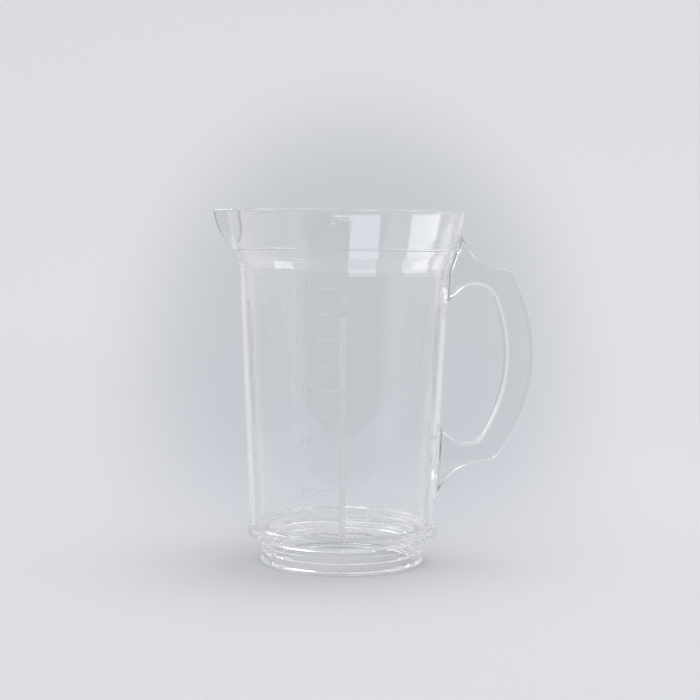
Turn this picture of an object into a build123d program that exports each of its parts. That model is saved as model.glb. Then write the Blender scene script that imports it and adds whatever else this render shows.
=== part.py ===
from build123d import *
import math
import os

# Clear moulded blender jar, one piece, open at the top and at the bottom.
# The jar's axis is Z and the bottom of the collar is z = 0.  The handle
# points to +X and the pouring spout to -X.  Sizes are in millimetres.

# Tapered wall
wall_foot_radius = 54.1
wall_taper = 6.1
wall_height = 146.5
wall_thickness = 2.8

# Collar that the blade unit is twisted into, set in from the wall's foot
collar_set_in = 7.8
collar_thickness = 3.5
collar_height = 14.0
lip_height = 1.4
lip_proud = 1.2
lip_round = 0.5

# Steps outside the collar: a bead halfway up it and a thicker ring under the shoulder
bead_rise = 6.0
bead_height = 1.6
bead_proud = 0.8
ring_rise = 10.3
ring_proud = 2.7
ring_round = 0.6

# Bayonet ridges round the inside of the collar, and how much narrower the bore is above their feet
bore_step = 0.8
ridge_count = 3
ridge_gap_angle = 10.0
ridge_rise = 12.3
ridge_height = 1.7
ridge_proud = 3.0
ridge_chamfer = 0.4

# Shoulder above the collar, and the ledge inside it that the seal lies on
shoulder_height = 8.5
shoulder_proud = 1.2
shoulder_slope = 1.4
shoulder_round = 2.0
ledge_depth = 2.6
ledge_round = 0.5
floor_round = 3.0

# Cone under the rim band, and the seat for the lid inside it
cone_height = 12.5
cone_flare = 4.2
cone_round = 14.0
lid_seat_width = 1.3
lid_seat_round = 0.4

# Flared rim band
band_height = 22.0
band_step = 0.7
band_flare = 4.4
band_thickness = 3.4
rim_round = 0.9

# Pouring spout, heights taken down from the rim
spout_proud = 6.9
spout_wall = 2.4
spout_half_angle = 24.0
spout_nose_radius = 2.6
spout_belly_drop = 10.5
spout_belly_slope = 0.28
spout_chin_drop = 17.0
spout_chin_proud = 3.0

# Handle, upper heights taken from the foot of the rim band, lower ones from the wall's foot
finger_gap = 35.2
grip_depth = 16.8
grip_middle_rise = 4.35
grip_inner_radius = 87.0
handle_width = 14.0
handle_edge_round = 2.2
handle_corner_round = 3.2
handle_root_round = 3.0
upper_root_rise = 11.5
upper_root_spread = 3.4
upper_root_fall = 10.0
upper_corner_drop = 10.5
upper_corner_set_back = 15.0
upper_arm_flat = 18.0
upper_arm = 9.4
upper_hole_round = 12.6
upper_hole_end_angle = 136.0
lower_root_rise = 11.0
lower_root_spread = 8.0
lower_root_climb = 28.0
lower_corner_rise = 38.8
lower_corner_set_back = 22.2
lower_arm_flat = 11.0
lower_arm_fall = 4.0
lower_arm = 8.8
lower_hole_round = 11.2
lower_hole_end_angle = 232.0

# Stirring ribs down the inside of the wall
rib_count = 4
rib_width = 3.4
rib_depth = 3.2
rib_edge_share = 0.46
rib_top_drop = 17.0
rib_run_out = 7.0

# Lid lock lugs on the outside of the rim band, each a bar with a stop
lug_count = 2
lug_drop = 3.3
lug_proud = 1.2
lug_bar_length = 14.0
lug_bar_thickness = 1.3
lug_stop_length = 2.0
lug_stop_height = 5.2

# Raised filling marks on the outside of the wall
mark_count = 5
mark_first_rise = 28.0
mark_last_drop = 9.1
mark_angle = -104.0
mark_length = 12.0
mark_thickness = 0.9
mark_proud = 0.4

# Slant of the sides of lugs and marks, as a share of how far they stand proud
raised_slant = 0.45

# How deep an added piece is sunk into what carries it
sink = 1.2

# Heights and radii that follow from the sizes above
wall_z = collar_height + shoulder_height
cone_z = wall_z + wall_height
band_z = cone_z + cone_height
rim_z = band_z + band_height
ledge_z = wall_z - ledge_depth
collar_radius = wall_foot_radius - collar_set_in
collar_bore_radius = collar_radius - collar_thickness
wall_top_radius = wall_foot_radius + wall_taper
cone_top_radius = wall_top_radius + cone_flare
band_foot_radius = cone_top_radius + band_step
rim_radius = band_foot_radius + band_flare
root_depth = 2 * wall_thickness


def wall_radius(z):
    """Outside radius of the tapered wall at a height."""
    return wall_foot_radius + (z - wall_z) / wall_height * wall_taper


def wall_inner_radius(z):
    """Inside radius of the tapered wall at a height."""
    return wall_radius(z) - wall_thickness


def band_radius(z):
    """Outside radius of the flared rim band at a height."""
    return band_foot_radius + (z - band_z) / band_height * band_flare


def band_inner_radius(z):
    """Inside radius of the flared rim band at a height."""
    return band_radius(z) - band_thickness


def turned(corners):
    """Solid of revolution round Z from corners given as (radius, height, rounding)."""
    outline = make_face(Polyline(*[(radius, z) for radius, z, _ in corners], close=True))
    for radius, z, rounding in corners:
        if rounding > 0:
            outline = fillet(outline.vertices().sort_by_distance((radius, z))[0], rounding)
    return revolve(Plane.XZ * outline, axis=Axis.Z)


def jar_outside():
    """Solid bounded by the outside of the jar, without spout or handle."""
    shoulder_radius = wall_foot_radius + shoulder_proud
    corners = [
        (0, 0, 0),
        (collar_radius + lip_proud, 0, lip_round),
        (collar_radius + lip_proud, lip_height, lip_round),
        (collar_radius, lip_height + lip_proud, 0),
        (collar_radius, bead_rise, 0),
        (collar_radius + bead_proud, bead_rise + bead_height / 2, 0),
        (collar_radius, bead_rise + bead_height, 0),
        (collar_radius, ring_rise, 0),
        (collar_radius + ring_proud, ring_rise, ring_round),
        (collar_radius + ring_proud, collar_height, 0),
        (shoulder_radius, collar_height + shoulder_slope, shoulder_round),
        (shoulder_radius, wall_z - shoulder_proud, 0),
        (wall_foot_radius, wall_z, 0),
        (wall_top_radius, cone_z, cone_round),
        (cone_top_radius, band_z, 0),
        (band_foot_radius, band_z, 0),
        (rim_radius, rim_z, 0),
        (0, rim_z, 0),
    ]
    return turned(corners)


def jar_inside():
    """Room inside the jar, right through it and past both ends."""
    above = rim_z + sink
    corners = [
        (0, -sink, 0),
        (collar_bore_radius, -sink, 0),
        (collar_bore_radius, ridge_rise, 0),
        (collar_bore_radius - bore_step, ridge_rise, 0),
        (collar_bore_radius - bore_step, ledge_z, ledge_round),
        (wall_inner_radius(ledge_z), ledge_z, floor_round),
        (wall_inner_radius(cone_z), cone_z, cone_round),
        (band_inner_radius(band_z) - lid_seat_width, band_z, lid_seat_round),
        (band_inner_radius(band_z), band_z, 0),
        (band_inner_radius(above), above, 0),
        (0, above, 0),
    ]
    return turned(corners)


def beak_section(reach, root_radius, nose, z):
    """Spout outline at one height: two straight cheeks that meet in a round nose."""
    turn = math.radians(spout_half_angle)
    root = (-root_radius * math.cos(turn), root_radius * math.sin(turn))
    nose_x = nose - reach
    span = (root[0] - nose_x, root[1])
    lean = math.atan2(span[1], span[0]) - math.asin(nose / math.hypot(*span))
    touch = (nose_x - nose * math.sin(lean), nose * math.cos(lean))
    edges = [
        Line(root, touch),
        ThreePointArc(touch, (-reach, 0), (touch[0], -touch[1])),
        Line((touch[0], -touch[1]), (root[0], -root[1])),
        Line((root[0], -root[1]), root),
    ]
    return Pos(0, 0, z) * make_face(edges)


def spout(inset, top):
    """Spout solid up to a height, set in by a wall at the cheeks and half of it at the nose and floor."""
    tip = rim_radius + spout_proud
    belly_z = rim_z - spout_belly_drop
    chin_z = rim_z - spout_chin_drop
    stations = [
        (tip + (top - rim_z) * spout_belly_slope, top),
        (tip - spout_belly_drop * spout_belly_slope, belly_z),
        (band_radius(chin_z) + spout_chin_proud, chin_z),
        (band_radius(band_z) - spout_chin_proud, band_z),
    ]
    half_inset = inset / 2
    nose = spout_nose_radius - half_inset
    lifts = [0, half_inset, half_inset, half_inset]
    sections = []
    for (reach, z), lift in zip(stations, lifts):
        root_radius = band_radius(z) - band_thickness / 2 - inset - half_inset
        sections.append(beak_section(reach - inset, root_radius, nose, z + lift))
    return loft(sections)


def on_circle(centre, radius, degrees):
    """Point on a circle in the XZ plane."""
    turn = math.radians(degrees)
    return (centre[0] + radius * math.cos(turn), centre[1] + radius * math.sin(turn))


def handle_outline():
    """Side view of the handle with its finger hole, as (x, z), run on into the jar."""
    upper_z = band_z - upper_corner_drop
    lower_z = wall_z + lower_corner_rise
    middle_z = (upper_z + lower_z) / 2 + grip_middle_rise
    hole_x = wall_radius(middle_z) + finger_gap
    outer_x = hole_x + grip_depth
    upper = (outer_x - upper_corner_set_back, upper_z)
    lower = (outer_x - lower_corner_set_back, lower_z)
    top_z = band_z + upper_root_rise
    foot_z = wall_z + lower_root_rise
    top = (band_radius(top_z) - sink, top_z)
    foot = (wall_radius(foot_z) - sink, foot_z)
    edges = [
        Bezier(top, (top[0] + upper_root_spread, top[1] - upper_root_fall),
               (upper[0] - upper_arm_flat, upper[1]), upper),
        ThreePointArc(upper, (outer_x, middle_z), lower),
        Bezier(lower, (lower[0] - lower_arm_flat, lower[1] - lower_arm_fall),
               (foot[0] + lower_root_spread, foot[1] + lower_root_climb), foot),
        Polyline(foot, (foot[0] - root_depth, foot[1]), (wall_radius(cone_z) - root_depth, cone_z),
                 (top[0] - root_depth, top[1]), top),
    ]
    outline = make_face(edges)
    for corner in (upper, lower):
        outline = fillet(outline.vertices().sort_by_distance(corner)[0], handle_corner_round)
    return outline - finger_hole(hole_x, middle_z, upper_z - upper_arm, lower_z + lower_arm)


def root_foot(end, degrees):
    """Where the straight line that leaves an arc's end along it is past the handle's run into the jar."""
    depth = end[0] - wall_radius(end[1]) + 2 * root_depth
    return (end[0] - depth, end[1] + depth / math.tan(math.radians(degrees)))


def finger_hole(hole_x, middle_z, top_z, bottom_z):
    """Finger hole: a long arc along the grip, rounded ends, and slanted roots into the jar."""
    centre = (hole_x - grip_inner_radius, middle_z)
    upper_reach = grip_inner_radius - upper_hole_round
    lower_reach = grip_inner_radius - lower_hole_round
    upper_turn = math.degrees(math.asin((top_z - upper_hole_round - middle_z) / upper_reach))
    lower_turn = math.degrees(math.asin((bottom_z + lower_hole_round - middle_z) / lower_reach))
    upper_centre = on_circle(centre, upper_reach, upper_turn)
    lower_centre = on_circle(centre, lower_reach, lower_turn)
    upper_end = on_circle(upper_centre, upper_hole_round, upper_hole_end_angle)
    lower_end = on_circle(lower_centre, lower_hole_round, lower_hole_end_angle)
    upper_join = on_circle(upper_centre, upper_hole_round, upper_turn)
    lower_join = on_circle(lower_centre, lower_hole_round, lower_turn)
    upper_foot = root_foot(upper_end, upper_hole_end_angle)
    lower_foot = root_foot(lower_end, lower_hole_end_angle)
    edges = [
        ThreePointArc(lower_join, (hole_x, middle_z), upper_join),
        ThreePointArc(upper_join, on_circle(upper_centre, upper_hole_round, 90), upper_end),
        Polyline(upper_end, upper_foot, lower_foot, lower_end),
        ThreePointArc(lower_end, on_circle(lower_centre, lower_hole_round, 270), lower_join),
    ]
    return make_face(edges)


def handle():
    """Solid handle with rounded edges, run on into the jar."""
    slab = extrude(Plane.XZ * handle_outline(), handle_width / 2, both=True)
    edges = slab.faces().filter_by(Axis.Y).edges().filter_by(Axis.X, reverse=True)
    seen = edges.filter_by(lambda edge: max(end.X for end in edge.vertices()) > wall_top_radius)
    return fillet(seen, handle_edge_round)


def with_handle(body):
    """Body with the handle grown out of it, the handle's flat sides flared into the body."""
    grip = handle()
    joined = body + grip
    roots = new_edges(body, grip, combined=joined)
    sides = roots.filter_by(lambda edge: abs(edge.center().Y) > handle_width / 2 - handle_edge_round / 2)
    return fillet(sides, handle_root_round)


def rib():
    """One stirring rib, on the +X side, from the ledge up to a slanted run-out."""
    foot_z = ledge_z - sink
    top_z = cone_z - rib_top_drop
    full_z = top_z - rib_run_out
    corners = [
        (wall_inner_radius(foot_z) + sink, foot_z),
        (wall_inner_radius(top_z) + sink, top_z),
        (wall_inner_radius(top_z), top_z),
        (wall_inner_radius(full_z) - rib_depth, full_z),
        (wall_inner_radius(foot_z) - rib_depth, foot_z),
    ]
    face = Plane.XZ * make_face(Polyline(*corners, close=True))
    blade = extrude(face, rib_width / 2, both=True)
    front = blade.faces().sort_by(Axis.X)[0]
    sides = front.edges().filter_by(lambda edge: abs(edge.center().Y) > rib_width / 4)
    return fillet(sides, rib_edge_share * rib_width)


def raised(radius_at, low, high, proud, start, sweep):
    """Ridge with slanted sides on a round wall between two heights, over a sweep in degrees."""
    slant = raised_slant * proud
    corners = [
        (radius_at(low) - sink, low),
        (radius_at(low), low),
        (radius_at(low) + proud, low + slant),
        (radius_at(high) + proud, high - slant),
        (radius_at(high), high),
        (radius_at(high) - sink, high),
    ]
    face = Plane.XZ * make_face(Polyline(*corners, close=True))
    return Rot(0, 0, start) * revolve(face, axis=Axis.Z, revolution_arc=sweep)


def bayonet_ridges():
    """Ridges round the inside of the collar, with equal gaps, one gap under the spout."""
    pitch = 360 / ridge_count
    corners = [
        (collar_bore_radius + sink, ridge_rise),
        (collar_bore_radius, ridge_rise),
        (collar_bore_radius - ridge_proud, ridge_rise + ridge_chamfer),
        (collar_bore_radius - ridge_proud, ridge_rise + ridge_height - ridge_chamfer),
        (collar_bore_radius, ridge_rise + ridge_height),
        (collar_bore_radius + sink, ridge_rise + ridge_height),
    ]
    face = Plane.XZ * make_face(Polyline(*corners, close=True))
    ridge = revolve(face, axis=Axis.Z, revolution_arc=pitch - ridge_gap_angle)
    first = 180 + ridge_gap_angle / 2
    return [Rot(0, 0, first + pitch * place) * ridge for place in range(ridge_count)]


def lock_lugs():
    """Lid lock lugs, the first on the side that faces -Y."""
    bar_sweep = math.degrees(lug_bar_length / rim_radius)
    stop_sweep = math.degrees(lug_stop_length / rim_radius)
    bar_top = rim_z - lug_drop
    lugs = []
    for place in range(lug_count):
        start = -90 - bar_sweep / 2 + place * 360 / lug_count
        lugs.append(raised(band_radius, bar_top - lug_bar_thickness, bar_top, lug_proud, start, bar_sweep))
        lugs.append(raised(band_radius, bar_top - lug_stop_height, bar_top, lug_proud, start, stop_sweep))
    return lugs


def filling_marks():
    """Long and short level marks, one above the other."""
    marks = []
    places = 2 * mark_count - 1
    first_z = ledge_z + mark_first_rise
    last_z = cone_z - mark_last_drop
    for place in range(places):
        z = first_z + place * (last_z - first_z) / (places - 1)
        length = mark_length / (1 + place % 2)
        sweep = math.degrees(length / wall_radius(z))
        marks.append(raised(wall_radius, z, z + mark_thickness, mark_proud, mark_angle, sweep))
    return marks


jar = with_handle(jar_outside() + spout(0, rim_z))
jar = jar - jar_inside() - spout(spout_wall, rim_z + sink)
ribs = [Rot(0, 0, 360 / rib_count * place) * rib() for place in range(rib_count)]
jar = jar + ribs + bayonet_ridges() + lock_lugs() + filling_marks()
rim_edges = jar.faces().filter_by(Axis.Z).sort_by(Axis.Z)[-1].edges()
jar = fillet(rim_edges, rim_round)

os.makedirs("parts", exist_ok=True)
export_step(jar, "parts/jar.step")
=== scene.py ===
# %% [markdown]
# # A clear blender jar
# The jar is one clear moulding, so nothing here hides its shape: the looks come from the plastic,
# from what is seen through it, and from the soft lamps that it mirrors.
# The jar comes in from model.glb in metres, standing on z = 0, with its handle towards +X.

# %% Load the imported jar
import math

import bpy
from mathutils import Matrix, Vector


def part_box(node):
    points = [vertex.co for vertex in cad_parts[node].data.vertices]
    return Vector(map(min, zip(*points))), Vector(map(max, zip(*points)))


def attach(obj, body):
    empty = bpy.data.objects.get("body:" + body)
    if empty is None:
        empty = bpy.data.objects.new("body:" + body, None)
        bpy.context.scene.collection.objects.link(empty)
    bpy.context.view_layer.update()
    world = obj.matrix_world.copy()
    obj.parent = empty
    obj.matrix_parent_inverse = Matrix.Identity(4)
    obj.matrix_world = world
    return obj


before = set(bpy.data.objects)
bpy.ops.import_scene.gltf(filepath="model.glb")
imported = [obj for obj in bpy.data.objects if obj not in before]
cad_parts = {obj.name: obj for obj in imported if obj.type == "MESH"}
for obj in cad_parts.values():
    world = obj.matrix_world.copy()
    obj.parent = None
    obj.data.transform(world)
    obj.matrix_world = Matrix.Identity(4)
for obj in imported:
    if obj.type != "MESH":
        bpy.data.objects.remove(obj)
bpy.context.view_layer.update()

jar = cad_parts["jar"]
low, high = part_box("jar")
scene = bpy.context.scene
print("jar, size in mm:", [round(1000 * side, 1) for side in high - low])

# %% [markdown]
# ## Camera
# A long lens a little under a metre away, held just under the height of the rim and tipped down a few
# degrees, so that the rim and the collar both show as thin ellipses.  Turning and moving are written as
# matrices, because the order of the turns then can't be mistaken.

# %% Place the camera
lens = bpy.data.cameras.new("long_lens")
lens.sensor_width = 36.0
lens.lens = 82.3
camera = bpy.data.objects.new("camera", lens)
scene.collection.objects.link(camera)
tip_down, roll_left = math.radians(3.93), math.radians(0.6)
tip = Matrix.Rotation(math.radians(90) - tip_down, 4, "X")
roll = Matrix.Rotation(roll_left, 4, "Z")
camera.matrix_world = Matrix.Translation((0.00364, -0.928, 0.1867)) @ tip @ roll
scene.camera = camera
looks_along = camera.matrix_world.to_3x3() @ Vector((0, 0, -1))
print("camera looks along", [round(c, 3) for c in looks_along])

# %% [markdown]
# ## Clear plastic
# The real jar is a clear styrene plastic, which bends light a little more than glass and takes a
# faint cool grey where it is thick.  A mould never leaves it quite even: the flow of the plastic makes
# the surface roll by a few hundredths of a millimetre, and use leaves fine scuffs that only show in the shine.
# In Blender that is a net of nodes, each of which takes some values and hands on another.
# The short helpers below add a node, wire it up and hand back its result, so the nets stay easy to read.

# %% Add and wire nodes
def add_node(tree, kind, sockets=(), **settings):
    """New shader node of a kind, with some of its settings and sockets set."""
    made = tree.nodes.new("ShaderNode" + kind)
    for setting, value in settings.items():
        setattr(made, setting, value)
    for socket, value in dict(sockets).items():
        made.inputs[socket].default_value = value
    return made


def work_out(tree, operation, *values):
    """Result of a sum on sockets and plain numbers."""
    made = add_node(tree, "Math", operation=operation)
    for value, socket in zip(values, made.inputs):
        if isinstance(value, float):
            socket.default_value = value
        else:
            tree.links.new(value, socket)
    return made.outputs[0]


def ramp(tree, value, start, end, bottom=0.0, top=1.0, curve="LINEAR"):
    """Climb from a bottom to a top while a value goes from a start to an end."""
    ends = {"From Min": start, "From Max": end, "To Min": bottom, "To Max": top}
    made = add_node(tree, "MapRange", ends, interpolation_type=curve)
    tree.links.new(value, made.inputs["Value"])
    return made.outputs["Result"]


def new_material(name):
    """Empty material, its net of nodes and its output."""
    made = bpy.data.materials.new(name)
    made.use_nodes = True
    made.node_tree.nodes.clear()
    return made, made.node_tree, add_node(made.node_tree, "OutputMaterial")


plastic, net, plastic_out = new_material("jar_plastic")
print("new material:", plastic.name)

# %% [markdown]
# The ribs down the inside are formed by slots in the mould that are narrow, and can be polished only near
# their open end, at the foot.  So the ribs come out dull and show as soft upright stripes.
# They aren't pieces of their own that could have a material each, but above the ledge they are the only
# thing inside the wall's taper, so a point's depth in from the wall finds them.

# %% Find the ribs
wall_foot = 0.0225  # height at which the tapered wall starts
wall_foot_radius = 0.0541  # its outside there
wall_flare = 6.1 / 146.5  # how fast it widens with height
wall_thickness = 0.0028
just_above_ledge = 0.0203


def length_of(tree, vector):
    """Length of a vector."""
    made = add_node(tree, "VectorMath", operation="LENGTH")
    tree.links.new(vector, made.inputs[0])
    return made.outputs["Value"]


def place_on_object(tree):
    """A point's place on the object."""
    return add_node(tree, "TexCoord").outputs["Object"]


def split_up(tree, vector):
    """X, Y and Z of a vector."""
    made = add_node(tree, "SeparateXYZ")
    tree.links.new(vector, made.inputs["Vector"])
    return made.outputs


def rib_dullness(tree, at_foot=0.25, further_up=0.7):
    """Roughness of the ribs, and nothing elsewhere."""
    split = split_up(tree, place_on_object(tree))
    level = add_node(tree, "CombineXYZ")
    for axis in "XY":
        tree.links.new(split[axis], level.inputs[axis])
    radius = length_of(tree, level.outputs["Vector"])
    radius_at_zero = wall_foot_radius - wall_thickness - wall_foot * wall_flare
    inside = work_out(tree, "MULTIPLY_ADD", split["Z"], wall_flare, radius_at_zero)
    standing = ramp(tree, work_out(tree, "SUBTRACT", inside, radius), 0.0002, 0.0008)
    above_ledge = work_out(tree, "GREATER_THAN", split["Z"], just_above_ledge)
    on_rib = work_out(tree, "MULTIPLY", standing, above_ledge)
    up_the_slot = ramp(tree, split["Z"], 0.022, 0.080, at_foot, further_up)
    return work_out(tree, "MULTIPLY", on_rib, up_the_slot)


dull_ribs = rib_dullness(net)
print("nodes that find the ribs:", len(net.nodes) - 1)

# %% [markdown]
# The plastic itself is a shader that passes all light and bends it, filled with a thin grey that takes a
# little of the light on its way.  Cloudy noise gives the scuffs and the slow roll of the surface: the roll is far
# too shallow to be worth any geometry, so it is bump.

# %% Mix the clear plastic
def noise(tree, scale, detail):
    """Cloudy noise that is fixed to the object."""
    made = add_node(tree, "TexNoise", {"Scale": scale, "Detail": detail})
    tree.links.new(place_on_object(tree), made.inputs["Vector"])
    return made.outputs["Fac"]


glassy = {"Base Color": (1.0, 1.0, 1.0, 1.0), "Transmission Weight": 1.0, "IOR": 1.57}
shader = add_node(net, "BsdfPrincipled", glassy)
filling = add_node(net, "VolumeAbsorption", {"Color": (0.84, 0.85, 0.86, 1.0), "Density": 5.0})
net.links.new(filling.outputs["Volume"], plastic_out.inputs["Volume"])
scuffs = ramp(net, noise(net, 60.0, 6.0), 0.35, 0.75, 0.0, 0.06)
dullness = work_out(net, "MAXIMUM", scuffs, dull_ribs)
net.links.new(dullness, shader.inputs["Roughness"])
flow_marks = add_node(net, "Bump", {"Strength": 1.0, "Distance": 0.00003})
net.links.new(noise(net, 22.0, 1.0), flow_marks.inputs["Height"])
net.links.new(flow_marks.outputs["Normal"], shader.inputs["Normal"])
print("the plastic bends light by", round(shader.inputs["IOR"].default_value, 2))

# %% [markdown]
# A renderer treats the lamps' light as stopped by clear plastic, and its shadow would be black.
# So a second, see-through shader takes over for the rays that feel for shadow, a little darker where the
# wall is seen edge-on, as there the light has more plastic to cross.

# %% Let the lamps through
def blend(tree, share, first, second):
    """Colour between two, each given as a colour or a socket."""
    made = add_node(tree, "MixRGB")
    tree.links.new(share, made.inputs["Fac"])
    for name, colour in (("Color1", first), ("Color2", second)):
        if isinstance(colour, tuple):
            made.inputs[name].default_value = (*colour, 1.0)
        else:
            tree.links.new(colour, made.inputs[name])
    return made.outputs["Color"]


def mix_shaders(tree, share, first, second):
    """Mix of two shaders."""
    made = add_node(tree, "MixShader")
    for part, socket in zip((share, first, second), made.inputs):
        tree.links.new(part, socket)
    return made.outputs["Shader"]


edge_on = add_node(net, "LayerWeight", {"Blend": 0.35}).outputs["Facing"]
passing = blend(net, edge_on, (0.86, 0.86, 0.87), (0.55, 0.56, 0.58))
see_through = add_node(net, "BsdfTransparent")
net.links.new(passing, see_through.inputs["Color"])
rays = add_node(net, "LightPath").outputs
feeling = work_out(net, "MAXIMUM", rays["Is Shadow Ray"], rays["Is Diffuse Ray"])
either = mix_shaders(net, feeling, shader.outputs["BSDF"], see_through.outputs["BSDF"])
net.links.new(either, plastic_out.inputs["Surface"])
jar.data.materials.clear()
jar.data.materials.append(plastic)
print("the jar's material has", len(net.nodes), "nodes")

# %% [markdown]
# Light that gets into a clear rim or collar runs round inside it many times before it comes out again.
# A ray that is cut short on the way shows as a black stroke, so the limits on bounces go up.

# %% Let the light run on
paths = scene.cycles
paths.max_bounces = paths.glossy_bounces = paths.transmission_bounces = 128
print("bounces:", paths.max_bounces)

# %% [markdown]
# ## Filling numbers
# Beside each long filling mark the mould has the amount in millilitres, raised less than half a millimetre.
# The tool is left matt there, so the figures show as a faint frost on the clear wall.
# Blender's own text makes the figures, and moving each point out to the wall's taper wraps them round the jar.
# Bending text with a modifier would do for a plain cylinder, but not for a wall that widens.

# %% Wrap a number round the wall
figure_size = 0.0058
figure_depth = 0.0004
clear_of_wall = 0.00002
right_edge = math.radians(-105.5)


def wall_radius(z):
    """Outside of the tapered wall at a height."""
    return wall_foot_radius + (z - wall_foot) * wall_flare


def flat_number(amount):
    """Mesh of a number that lies in the XY plane."""
    words = bpy.data.curves.new("figures", "FONT")
    words.body = str(amount)
    words.size = figure_size
    words.align_x = "RIGHT"
    words.align_y = "CENTER"
    words.extrude = figure_depth / 2
    words.resolution_u = 4
    flat = bpy.data.objects.new("figures", words)
    scene.collection.objects.link(flat)
    bpy.context.view_layer.update()
    depsgraph = bpy.context.evaluated_depsgraph_get()
    made = bpy.data.meshes.new_from_object(flat.evaluated_get(depsgraph))
    bpy.data.objects.remove(flat)
    bpy.data.curves.remove(words)
    return made


def wrapped_number(amount, middle_z):
    """Points and faces of a number on the wall, at a height."""
    flat = flat_number(amount)
    points = []
    for corner in flat.vertices:
        along, up, out = corner.co
        z = middle_z + up
        radius = wall_radius(z) + clear_of_wall + figure_depth / 2 + out
        angle = right_edge + along / radius
        points.append((radius * math.cos(angle), radius * math.sin(angle), z))
    faces = [tuple(face.vertices) for face in flat.polygons]
    bpy.data.meshes.remove(flat)
    return points, faces


print("numbers end", round(-90 - math.degrees(right_edge), 1), "degrees left of the front")

# %% Raise the numbers
first_mark, mark_step = 0.0479, 0.028
points, faces = [], []
for mark in range(5):
    new_points, new_faces = wrapped_number(250 * (mark + 1), first_mark + mark_step * mark)
    faces += [tuple(corner + len(points) for corner in face) for face in new_faces]
    points += new_points
mesh = bpy.data.meshes.new("filling_numbers")
mesh.from_pydata(points, [], faces)
numbers = bpy.data.objects.new("filling_numbers", mesh)
scene.collection.objects.link(numbers)
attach(numbers, "root")
print("numbers have", len(faces), "faces")

# %% [markdown]
# The frost is a pale, dull skin that hides only a sixth of what is behind it, with a grain as fine as
# the spark marks that such a matt patch of a mould has.

# %% Frost the numbers
frost, net, frost_out = new_material("matt_figures")
veil = add_node(net, "BsdfPrincipled", {"Base Color": (0.95, 0.95, 0.96, 1.0), "Alpha": 0.17})
grain = ramp(net, noise(net, 3000.0, 2.0), 0.0, 1.0, 0.45, 0.75)
net.links.new(grain, veil.inputs["Roughness"])
net.links.new(veil.outputs["BSDF"], frost_out.inputs["Surface"])
numbers.data.materials.append(frost)
print("the frost hides", round(veil.inputs["Alpha"].default_value, 2), "of what is behind it")

# %% [markdown]
# ## Studio
# A pale sweep: a table that curves up into a wall behind the jar, so that no edge shows.
# The wall behind the jar is painted a little darker, as where a lamp's light falls off, and that soft patch of
# painted shade is
# what gives a clear thing its body: the plastic shows it wherever it bends the view.
# One sheet, drawn as a profile and stretched sideways, does for all of it.

# %% Bend the sweep
def sweep(name, front, bend, radius, height, half_width, steps=24):
    """Floor, quarter bend and wall in one sheet."""
    profile = [(front, 0.0), (bend, 0.0)]
    for step in range(1, steps + 1):
        turn = math.pi / 2 * step / steps
        profile.append((bend + radius * math.sin(turn), radius - radius * math.cos(turn)))
    profile.append((bend + radius, height))
    corners = [(x, y, z) for y, z in profile for x in (-half_width, half_width)]
    strips = [(2 * i, 2 * i + 1, 2 * i + 3, 2 * i + 2) for i in range(len(profile) - 1)]
    sheet = bpy.data.meshes.new(name)
    sheet.from_pydata(corners, [], strips)
    sheet.shade_smooth()
    made = bpy.data.objects.new(name, sheet)
    scene.collection.objects.link(made)
    return made


just_under_jar = -0.0002
backdrop = sweep("sweep", front=-0.43, bend=0.35, radius=0.5, height=2.4, half_width=1.6)
backdrop.location.z = just_under_jar
print("sweep has", len(backdrop.data.polygons), "faces")

# %% [markdown]
# The paper's tone has painted shade in it, drawn as one soft egg behind the jar, as where a lamp's light falls
# off;
# the egg also reaches down onto the table behind the jar's foot, as painted shade round the jar.
# Far out at both sides the paper is painted into shade again, as where the lamp's light ends: the jar's upright
# edges bend the view that far round, and a paper that was pale all the way would fill them with broad white
# bands.

# %% Tone the paper
# painted shade: the egg darkens the wall and the table behind the jar, and far_shade darkens both far sides
shade, pale, far_shade = (0.584, 0.605, 0.640), (0.755, 0.761, 0.79), (0.61, 0.62, 0.65)
egg_middle, egg_radii = (0.010, 0.74, 0.095), (0.20, 0.76, 0.215)
paper, net, paper_out = new_material("pale_paper")
place = place_on_object(net)
split = split_up(net, place)
egg = add_node(net, "Mapping", {"Location": egg_middle, "Scale": egg_radii}, vector_type="TEXTURE")
net.links.new(place, egg.inputs["Vector"])
out_of_egg = ramp(net, length_of(net, egg.outputs["Vector"]), 0.55, 1.45, curve="SMOOTHERSTEP")
aside = work_out(net, "ABSOLUTE", split["X"])
far_aside = ramp(net, aside, 0.40, 0.55, curve="SMOOTHSTEP")
tone = blend(net, far_aside, blend(net, out_of_egg, shade, pale), far_shade)
print("paper goes from", shade, "to", pale)

# %% [markdown]
# Part of the brightness that the eye sees is the paper's own glow, which keeps the background even, also
# where it is seen in the plastic or through it.  The rest is lit by the lamp, least on the wall and most
# on the table, so the table takes the jar's shadow.

# %% Let the paper glow
glow = add_node(net, "Emission")
matt = add_node(net, "BsdfDiffuse")
for part in (glow, matt):
    net.links.new(tone, part.inputs["Color"])
rays = add_node(net, "LightPath").outputs
straight_or_mirrored = work_out(net, "MAXIMUM", rays["Is Camera Ray"], rays["Is Glossy Ray"])
seen = work_out(net, "MAXIMUM", straight_or_mirrored, rays["Is Transmission Ray"])
glowing_share = ramp(net, split["Z"], 0.0, 0.1, 0.3, 0.8)
share = work_out(net, "MULTIPLY", seen, glowing_share)
both = mix_shaders(net, share, matt.outputs["BSDF"], glow.outputs["Emission"])
net.links.new(both, paper_out.inputs["Surface"])
backdrop.data.materials.append(paper)
print("the paper's material has", len(net.nodes), "nodes")

# %% [markdown]
# ## Light
# The room in front of the jar is dim, with pale walls at both sides, and the jar mirrors both: the dim
# part is the grey shield on its near wall, which ends where the table's front edge is mirrored.

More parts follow.
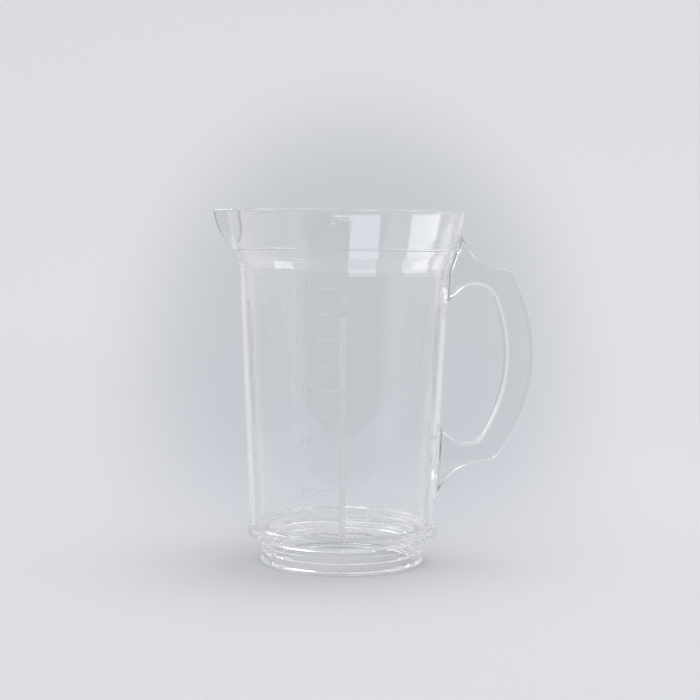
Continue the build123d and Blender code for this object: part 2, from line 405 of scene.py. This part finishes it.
# %% Paint the room
dim_front, pale_sides = (0.40, 0.40, 0.41), (0.68, 0.68, 0.70)
room = bpy.data.worlds.new("room")
scene.world = room
room.use_nodes = True
net = room.node_tree
way = split_up(net, add_node(net, "TexCoord").outputs["Generated"])
front_to_sides = ramp(net, way["Y"], -0.78, -0.50, curve="SMOOTHSTEP")
sky = net.nodes["Background"]
net.links.new(blend(net, front_to_sides, dim_front, pale_sides), sky.inputs["Color"])
sky.inputs["Strength"].default_value = 1.0
print("room:", dim_front, "in front and", pale_sides, "at the sides")

# %% [markdown]
# A window at the left of the camera and two softboxes further round to the left draw the bright upright
# shapes inside the rim, and a long strip at the right draws a thin streak on the cone below it.
# These four are only mirrored.  The lamp that lights the paper hangs overhead, and the jar doesn't mirror it,
# because it would fill the collar with hard white lines.

# %% Hang the lamps
rim_middle = Vector((0, 0, 0.19))


def panel(name, azimuth, elevation, distance, width, height, brightness,
          lights_paper=False, tint=(1, 1, 1)):
    """Soft lamp that faces the rim, at an azimuth from the camera's side (left is negative)."""
    turn, lift = math.radians(azimuth), math.radians(elevation)
    reach = distance * math.cos(lift)
    away = Vector((reach * math.sin(turn), -reach * math.cos(turn), distance * math.sin(lift)))
    lamp_data = bpy.data.lights.new(name, "AREA")
    lamp_data.shape = "RECTANGLE"
    lamp_data.size = width
    lamp_data.size_y = height
    lamp_data.energy = brightness * math.pi * width * height
    lamp_data.color = tint
    lamp = bpy.data.objects.new(name, lamp_data)
    scene.collection.objects.link(lamp)
    lamp.location = rim_middle + away
    lamp.rotation_mode = "QUATERNION"
    lamp.rotation_quaternion = (-away).to_track_quat("-Z", "Y")
    lamp.visible_camera = False
    lamp.visible_diffuse = lights_paper
    lamp.visible_glossy = lamp.visible_transmission = not lights_paper
    print(name, "at", [round(c, 2) for c in lamp.location], "watts", round(lamp_data.energy, 1))


panel("window", -22.5, 25, 2.2, 1.25, 0.9, 2.2, tint=(0.86, 0.91, 1.0))
panel("left_softbox", -101, 25, 1.5, 1.2, 0.65, 2.2)
panel("back_softbox", -155, 27, 0.75, 0.3, 0.3, 2.0)
panel("right_softbox", 74, 38, 1.6, 1.3, 0.2, 4.0)
panel("top_softbox", 130, 76, 1.7, 1.0, 1.0, 4.9, lights_paper=True)

# %% [markdown]
# ## Finish
# Standard view, so that a colour renders as it is written.

# %% Finish
scene.view_settings.view_transform = "Standard"
bpy.context.view_layer.update()
